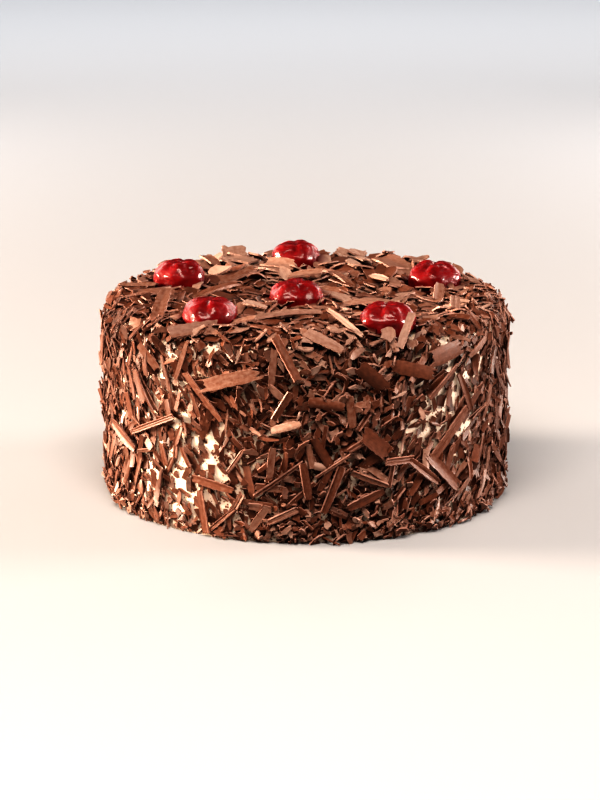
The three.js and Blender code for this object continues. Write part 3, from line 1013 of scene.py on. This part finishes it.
# The passes that cover the cake: piece, kind, band of climbs, how many, spans of length, width and
# thickness, looseness, share of the bareness, bow, roll and twist, press, and where they lie.
COVERING = [
    ("slabs_side", "slabs", SIDE, 4800, ((3.5, 9), (1.6, 4.2), (0.5, 0.7)),
     0.15, 0.2, (0.1, 0.15, 0.1), 75, "all"),
    ("slabs_top", "slabs", TOP, 1200, ((6, 13), (3, 6.5), (0.4, 0.6)),
     0.05, 0, (0.1, 0.15, 0.1), 75, "all"),
    ("slabs_foot", "slabs", FOOT, 400, ((2.5, 6), (2, 4), (0.4, 0.6)),
     0.1, 0, (0.1, 0.15, 0.1), 75, "all"),
    ("shards", "shards", SIDE, 2300, ((4, 11), (1.6, 4), (0.5, 0.8)),
     0.3, 0.9, (0.15, 0.25, 0.15), 78, "calm"),
    ("chips_top", "chips", TOP, 520, ((5, 13), (3, 6.5), (0.4, 0.7)),
     0.18, 0, (0.2, 0.3, 0.2), 80, "all"),
    ("bits_side", "slabs", SIDE, 2600, ((2, 5), (1, 2.4), (0.4, 0.6)),
     0.5, 0.8, (0.1, 0.2, 0.1), 72, "calm"),
    ("slivers", "shards", SIDE, 1300, ((4, 11), (0.9, 1.9), (0.4, 0.7)),
     0.3, 0.7, (0.3, 0.3, 0.3), 76, "calm"),
    ("splinters_side", "splinters", SIDE, 1100, ((3, 9), (0.6, 1.2), (0.4, 0.7)),
     0.4, 1, (0.4, 0.3, 0.6), 80, "messy"),
    ("flakes_side", "chips", SIDE, 1700, ((4, 11), (2, 4.4), (0.5, 0.8)),
     0.4, 0.9, (0.25, 0.5, 0.2), 80, "calm"),
    ("splinters_top", "splinters", TOP, 260, ((4, 12), (0.7, 1.5), (0.4, 0.7)),
     0.2, 0, (0.3, 0.3, 0.5), 84, "all"),
    ("flakes_top", "chips", TOP, 420, ((5, 15), (3, 7), (0.5, 0.8)),
     0.26, 0, (0.2, 0.4, 0.2), 83, "all"),
    ("flakes_rim", "chips", RIM, 220, ((4, 10), (2.4, 5), (0.5, 0.8)),
     0.4, 0, (0.2, 0.5, 0.2), 80, "all"),
    ("flakes_foot", "chips", FOOT, 420, ((2, 5), (1.4, 3), (0.4, 0.6)),
     0.2, 0, (0.2, 0.5, 0.2), 74, "all"),
    ("petals", "petals", SIDE, 1600, ((5, 10), (2.6, 4.6), (0.5, 0.8)),
     0.4, 0.8, (0.3, 0.7, 0.2), 80, "middle"),
    ("flakes_front", "chips", SIDE, 1900, ((3, 9), (1.6, 4), (0.5, 0.8)),
     0.5, 1, (0.3, 0.6, 0.2), 80, "messy"),
    ("strips_side", "strips", (14, 92), 420, ((8, 18), (1.8, 4), (0.6, 0.9)),
     0.16, 0.8, (0.2, 0.5, 0.3), 80, "all"),
    ("strips_top", "strips", TOP, 170, ((12, 26), (2.8, 6.5), (0.5, 0.8)),
     0.12, 0, (0.3, 0.5, 0.4), 86, "all"),
    ("slabs_back", "petals", TOP, 240, ((9, 17), (5, 9), (0.6, 1.0)),
     0.4, 0, (0.4, 0.4, 0.3), 88, "back"),
    ("curls", "curls", SIDE, 700, ((8, 16), (2.6, 5), (0.5, 0.8)),
     0.2, 0.6, (0.2, 1.8, 0.2), 80, "front"),
    ("crumbs", "crumbs", SIDE, 2600, ((0.6, 1.9), (0.5, 1.2), (0.4, 0.8)),
     0.2, 0, (0, 0, 0), 50, "messy"),
]


UNDERMOST = "slabs"  # the kind that lies under the others, painted darker than they are as the shade between them
UNDERMOST_BARE = 0.5  # such a pass with less than this share of the bareness is thinned by crowding
RIM_CLIMB = 78  # over the edge, where the far left is painted darker as shade
RIM_SHADE = (-70, 40)  # its middle and half-width in degrees
DARKEST = 0.2
PALENESS_CURVE = (1.7, 1.9)  # the two powers of the beta curve that the tones are drawn from

# The chips against each cherry: how many, spans of length, width and thickness, and spreads of
# bow, roll and twist.
BY_EACH_CHERRY = 30
TUCKED_SPANS = ((5, 9), (2.6, 5), (0.4, 0.6))
TUCKED_FORMS = (0.2, 0.4, 0.2)


def shaving_kinds(rng):
    """A few templates of each kind of shaving."""
    return {
        "slabs": [plate(rng, 4, SLANTED_ENDS, 1, 0.16) for _ in range(12)]
        + [plate(rng, 4, ONE_END + ONE_LONG_SIDE, 1, 0.16) for _ in range(12)],
        "shards": [plate(rng, 4, SLANTED_ENDS, 2, 0.16) for _ in range(20)]
        + [plate(rng, 4, SLANTED_ENDS + ONE_LONG_SIDE, 2, 0.18) for _ in range(20)],
        "chips": [plate(rng, 6, ANYWHERE * int(rng.integers(2, 4)), 2, 0.24) for _ in range(24)]
        + [plate(rng, 4, SLANTED_ENDS, 2, 0.26) for _ in range(16)],
        "petals": [plate(rng, 12, ONE_END, 1, 0.12, 0.4) for _ in range(12)],
        "splinters": [ribbon(rng, 3, 1, 0.1) for _ in range(6)],
        "strips": [ribbon(rng, 6, 2, 0.07) for _ in range(14)],
        "curls": [ribbon(rng, 6, 5, 0.05) for _ in range(6)],
        "crumbs": [crumb(rng) for _ in range(6)],
    }


def paleness_and_painted_shade(rng, kind, degrees, climb, jumbled):
    tone = DARKEST + (0.5 + 0.3 * jumbled) * rng.beta(*PALENESS_CURVE)
    if kind == UNDERMOST:
        # painted shade: the undermost shavings are darkened, more in the jumble, as the shade that falls
        # between the ones over them
        tone *= 0.7 - 0.45 * jumbled
    # painted shade: shavings over the far left of the edge are darkened as if in shade
    if climb > RIM_CLIMB:
        tone *= 1 - 0.4 * bump_over(degrees, *RIM_SHADE)
    return tone


def cover(layer, kinds, look):
    """Lays the passes that cover the cream, each in a heap of its own."""
    rng = layer.rng
    for name, kind, band, count, spans, loosely, bare_share, forms, press, share in COVERING:
        heap = Heap(name)
        spots = layer.side_spots(count, *band) if band else layer.top_spots(count)
        for degrees, climb in spots:
            bare = bareness(degrees, climb) if band else 0
            if rng.random() < bare * bare_share:
                continue
            if rng.random() > SHARES[share](degrees, climb):
                continue
            lean = layer.lean_at(degrees, climb) if band else rng.uniform(-math.pi / 2, math.pi / 2)
            size = [rng.uniform(*span) for span in spans]
            jumbled = mess(degrees, climb) if band else 1
            size[2] *= 0.65 + 0.45 * jumbled
            form = [rng.normal(0, spread) for spread in forms]
            template = kinds[kind][rng.integers(len(kinds[kind]))]
            thinned = kind == UNDERMOST and bare_share < UNDERMOST_BARE
            layer.lay(
                heap,
                template,
                math.radians(degrees),
                climb,
                lean,
                size,
                form,
                loosely * (0.5 + 0.5 * jumbled),
                press,
                paleness_and_painted_shade(rng, kind, degrees, climb, jumbled),
                crowd=0.95 - 0.62 * bare if thinned else 1,
                tallest=STANDING.get(name, layer.TALLEST),
            )
        heap.piece(look)


def tuck_in(layer, chips, look):
    """Lays a ring of tilted chips against each cherry."""
    rng = layer.rng
    heap = Heap("flakes_by_cherries")
    for x, y, radius in layer.cherries:
        turns = np.linspace(0, 2 * math.pi, BY_EACH_CHERRY + 1)[:-1]
        for turn in turns + rng.uniform(-0.1, 0.1, BY_EACH_CHERRY):
            away = radius + rng.uniform(1.2, 4.2)
            spot = (x + away * math.cos(turn), y + away * math.sin(turn))
            facing = turn + math.pi + rng.normal(0, 0.7)
            size = [rng.uniform(*span) for span in TUCKED_SPANS]
            form = [rng.normal(0, spread) for spread in TUCKED_FORMS]
            template = chips[rng.integers(len(chips))]
            pitch = rng.uniform(0.2, 0.7)
            tone = DARKEST + (1 - DARKEST) * rng.beta(*PALENESS_CURVE)
            place = on_top(layer.skin, *spot, facing)
            layer.lay(heap, template, *place, size, form, 0.2, 84, tone, pitch)
    heap.piece(look)


def lay_by_hand(layer, heap, template, place, size, roll, pitch, tone, thickness, bow):
    """Lays one of the big shavings, which may stand out further than the others."""
    form = (bow, roll, layer.rng.normal(0, ANY_TWIST))
    slope = math.tan(math.radians(pitch))
    layer.lay(heap, template, *place, (*size, thickness), form, tone=tone, pitch=slope, **BY_HAND)


def big_shavings(layer, kinds, look):
    """Lays the big shavings on the side and on top, and leans some on the cherries."""
    heap = Heap("long_shavings")
    for i, (degrees, climb, lean, length, width, *rest) in enumerate(LONG_ON_SIDE):
        template = kinds["torn" if width > PLATE_WIDTH else "long"][i % BIG_TEMPLATES]
        place = (math.radians(degrees), climb, math.radians(lean))
        lay_by_hand(layer, heap, template, place, (length, width), *rest, **ON_SIDE)
    for i, (x, y, heading, length, width, *rest) in enumerate(LONG_ON_TOP):
        template = kinds["torn" if width > PLATE_WIDTH else "long"][i % BIG_TEMPLATES]
        place = on_top(layer.skin, x, y, math.radians(heading))
        lay_by_hand(layer, heap, template, place, (length, width), *rest, **ON_TOP)
    for i, (kind, middle, heading, pitch, roll, length, width, tone) in enumerate(LEANING):
        template = kinds[kind][i]
        basis = pointed(*(math.radians(angle) for angle in (heading, pitch, roll)))
        corners = bend(template.corners, length, width, LEANING_THICKNESS, *LEANING_FORM) @ basis + middle
        grain = layer.grain(template, length, width)
        heap.add(template, corners, grain, tone, layer.stain(corners) * LEANING_SOAKED)
    heap.piece(look)


def loose_shavings(layer, long_ones, look):
    """Puts a planed shaving in the place of each loose one of the frame."""
    rng = layer.rng
    for i, (node, (x, y, heading, tilt, length, width, arch)) in enumerate(LOOSE.items()):
        heap = Heap(node + "_planed")
        template = long_ones[i % BIG_TEMPLATES]
        bow = -8 * arch / length  # an arc of this angle rises by arch in its middle
        form = (bow, LOOSE_ROLL, rng.normal(0, LOOSE_TWIST))
        basis = pointed(math.radians(heading), math.radians(tilt), 0)
        corners = bend(template.corners, length, width, LOOSE_THICKNESS, *form) @ basis
        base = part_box(node)[0][2] / MM
        corners += (x, y, base - corners[:, 2].min())
        grain = layer.grain(template, length, width)
        tone = rng.uniform(*LOOSE_TONES)
        heap.add(template, corners, grain, tone, layer.stain(corners) * LOOSE_SOAKED)
        piece = heap.piece(look)
        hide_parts(node)


class CAKE_OT_shavings(bpy.types.Operator):
    """Cover the cream with shavings, from the smallest to the longest"""

    bl_idname = "cake.shavings"
    bl_label = "Shavings"

    def execute(self, context):
        sizes, colours = context.scene.cake_sizes, context.scene.cake_colours
        layer = Layer(Bed(cake_skin(sizes)), cherry_spots(), sizes.seed)
        rng = layer.rng
        kinds = shaving_kinds(rng)
        look = shaved_chocolate(colours)
        cover(layer, kinds, look)
        tuck_in(layer, kinds["chips"], look)
        kinds["long"] = [ribbon(rng, 20, 6, 0.05) for _ in range(BIG_TEMPLATES)]
        kinds["torn"] = [ribbon(rng, 12, 7, 0.2, 0.1, 0.85) for _ in range(BIG_TEMPLATES)]
        big_shavings(layer, kinds, look)
        loose_shavings(layer, kinds["long"], look)
        return {"FINISHED"}


# Form of a cherry. Angles are in radians, polar ones from its top, and depths are shares of its radius.
LOBES = [(3, 1, 0.05), (5, -2, 0.03)]  # how many, turned how many times the cherry's turn, depth
STONE_HOLE = (0.24, 0.36)  # depth and half-width
CLEFT_WIDTH = 0.26
CLEFT_REACH = (0.75, 0.62)  # polar middle and half-length
LUMPS = (0.06, 2.1)  # depth, and how many to a radius
FOLDS = (0.05, 3.4)
FOLD_REACH = (0.8, 0.8)
FULLER_BELOW = -0.55  # power of the polar sine that fills out the lower half
BOTTOM_POLE = 3.1


def cherry_skin(point, turn, clefts, folds):
    """How far out a cherry's skin lies in the direction of a point on a ball of radius one."""
    polar = math.acos(max(-1, min(1, point.z)))
    around = math.atan2(point.y, point.x)
    phase = math.radians(turn)
    much = 1 + math.sin(polar) * sum(
        depth * math.sin(many * around + turns * phase) for many, turns, depth in LOBES
    )
    much -= STONE_HOLE[0] * bump_over(polar, 0, STONE_HOLE[1])
    for cleft, depth in clefts:
        off = (around - math.radians(cleft) + math.pi) % (2 * math.pi) - math.pi
        much -= depth * bump_over(off, 0, CLEFT_WIDTH) * bump_over(polar, *CLEFT_REACH)
    own = Vector((turn, 0, 0))
    much += LUMPS[0] * noise.noise(point * LUMPS[1] + own)
    wrinkle = 1 - abs(noise.noise(point * FOLDS[1] + own)) * 2
    much -= FOLDS[0] * folds * max(0, wrinkle - 0.5) * bump_over(polar, *FOLD_REACH)
    fuller = math.sin(polar) ** FULLER_BELOW if math.pi / 2 < polar < BOTTOM_POLE else 1
    return much, fuller


class CAKE_OT_cherries(bpy.types.Operator):
    """Set the six candied cherries"""

    bl_idname = "cake.cherries"
    bl_label = "Cherries"

    def execute(self, context):
        sizes, colours = context.scene.cake_sizes, context.scene.cake_colours
        look = candied_cherry(colours)
        for node, (turn, seat) in CHERRIES.items():
            low, high = box_mm(node)
            centre = (*((low + high) / 2)[:2], low[2] + seat)
            radius = cherry_radius(low, high)
            shape = bmesh.new()
            bmesh.ops.create_uvsphere(shape, u_segments=96, v_segments=56, radius=1)
            for v in shape.verts:
                much, fuller = cherry_skin(v.co, turn, CLEFTS[node], sizes.plumpness)
                v.co *= radius * much
                v.co.x *= fuller
                v.co.y *= fuller
            top = max(v.co.z for v in shape.verts)
            bmesh.ops.scale(shape, verts=shape.verts[:], vec=(1, 1, (high[2] - centre[2]) / top))
            bmesh.ops.translate(shape, verts=shape.verts[:], vec=centre)
            piece = show(finished_mesh(node + "_candied", shape), look)
            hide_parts(node)
        return {"FINISHED"}


# Softboxes: name, azimuth, elevation, distance, width, height, spread, power, colour.
STUDIO_LIGHTS = [
    ("left_softbox", -96, 7, 2.6, 0.85, 0.57, 90, 66, "#ffe9d2"),
    ("right_softbox", 99, 8, 2.6, 0.95, 0.57, 90, 23, "#fff6ee"),
    ("back_left_softbox", -142, 18, 1.2, 0.7, 0.5, 180, 3, "#fff6ee"),
    ("back_right_softbox", 142, 18, 1.2, 0.7, 0.5, 180, 4, "#fff6ee"),
    ("top_softbox", -6, 55, 1.2, 0.85, 0.55, 180, 23, "#fff0e2"),
]
LIT_PLACE_M = Vector((0, 0, 0.05))  # what the softboxes point at
# Panels over the floor all round, which shine straight down and miss the cake.
FLOOR_PANELS = 4
PANEL_AWAY_M = 2.1
PANEL_HIGH_M = 1.3
PANEL_SIZE_M = (1.8, 3.2)
PANEL_SPREAD = 110
PANEL_WATTS = 32
ROOM_COLOUR = (0.9, 0.95, 1.0, 1)
ROOM_STRENGTH = 0.006
FLOOR_RADIUS_M = 8.0
CAMERA_LENS = 110.3
CAMERA_DOWN = 14.8
CAMERA_PLACE_M = (-0.0023, -1.0906, 0.3281)


def hang_light(name, place, rotation, size, spread, watts, colour):
    lamp = bpy.data.lights.new(name, "AREA")
    lamp.shape = "RECTANGLE"
    lamp.size, lamp.size_y = size
    lamp.spread = math.radians(spread)
    lamp.energy = watts
    lamp.color = linear(colour)
    light = bpy.data.objects.new(name, lamp)
    light.location = place
    light.rotation_euler = rotation
    bpy.context.scene.collection.objects.link(light)


class CAKE_OT_stage(bpy.types.Operator):
    """Set the floor, the studio lights and the camera"""

    bl_idname = "cake.stage"
    bl_label = "Stage"

    def execute(self, context):
        scene = context.scene
        shape = bmesh.new()
        bmesh.ops.create_circle(shape, cap_ends=True, segments=64, radius=FLOOR_RADIUS_M)
        mesh = bpy.data.meshes.new("floor")
        shape.to_mesh(mesh)
        shape.free()
        mesh.materials.append(plain_floor(scene.cake_colours))
        floor = bpy.data.objects.new("floor", mesh)
        scene.collection.objects.link(floor)

        world = bpy.data.worlds.new("studio")
        world.use_nodes = True
        background = world.node_tree.nodes["Background"].inputs
        background["Color"].default_value = ROOM_COLOUR
        background["Strength"].default_value = ROOM_STRENGTH
        scene.world = world

        for name, azimuth, elevation, away_m, wide_m, high_m, *rest in STUDIO_LIGHTS:
            a, e = math.radians(azimuth), math.radians(elevation)
            spot = Vector((math.sin(a) * math.cos(e), -math.cos(a) * math.cos(e), math.sin(e))) * away_m
            facing = spot.to_track_quat("Z", "Y").to_euler()
            hang_light(name, spot + LIT_PLACE_M, facing, (wide_m, high_m), *rest)
        for i in range(FLOOR_PANELS):
            a = 2 * math.pi * i / FLOOR_PANELS
            place = (PANEL_AWAY_M * math.cos(a), PANEL_AWAY_M * math.sin(a), PANEL_HIGH_M)
            hang_light("floor_panel", place, (0, 0, a), PANEL_SIZE_M, PANEL_SPREAD, PANEL_WATTS, "#ffffff")

        camera = bpy.data.objects.new("camera", bpy.data.cameras.new("camera"))
        camera.data.lens = CAMERA_LENS
        camera.location = CAMERA_PLACE_M
        camera.rotation_euler = (math.radians(90 - CAMERA_DOWN), 0, 0)
        scene.collection.objects.link(camera)
        scene.camera = camera
        scene.view_settings.view_transform = "Standard"
        scene.view_settings.look = "Very High Contrast"
        return {"FINISHED"}


class CAKE_PT_panel(bpy.types.Panel):
    """Lists the cake's pieces and settings"""

    bl_idname = "CAKE_PT_panel"
    bl_label = "Black forest cake"
    bl_space_type = "VIEW_3D"
    bl_region_type = "UI"
    bl_category = "Cake"

    def draw(self, context):
        layout = self.layout
        for group in (context.scene.cake_sizes, context.scene.cake_colours):
            for name in type(group).__annotations__:
                layout.prop(group, name)
        for operator in OPERATORS:
            layout.operator(operator.bl_idname)


OPERATORS = (CAKE_OT_cream_coat, CAKE_OT_shavings, CAKE_OT_cherries, CAKE_OT_stage)
CLASSES = (CakeSizes, CakeColours, *OPERATORS, CAKE_PT_panel)


def register():
    for cls in CLASSES:
        bpy.utils.register_class(cls)
    bpy.types.Scene.cake_sizes = PointerProperty(type=CakeSizes)
    bpy.types.Scene.cake_colours = PointerProperty(type=CakeColours)


def unregister():
    del bpy.types.Scene.cake_colours
    del bpy.types.Scene.cake_sizes
    for cls in reversed(CLASSES):
        bpy.utils.unregister_class(cls)


def main():
    register()
    bpy.ops.cake.cream_coat()
    bpy.ops.cake.shavings()
    bpy.ops.cake.cherries()
    bpy.ops.cake.stage()


if __name__ == "__main__":
    main()
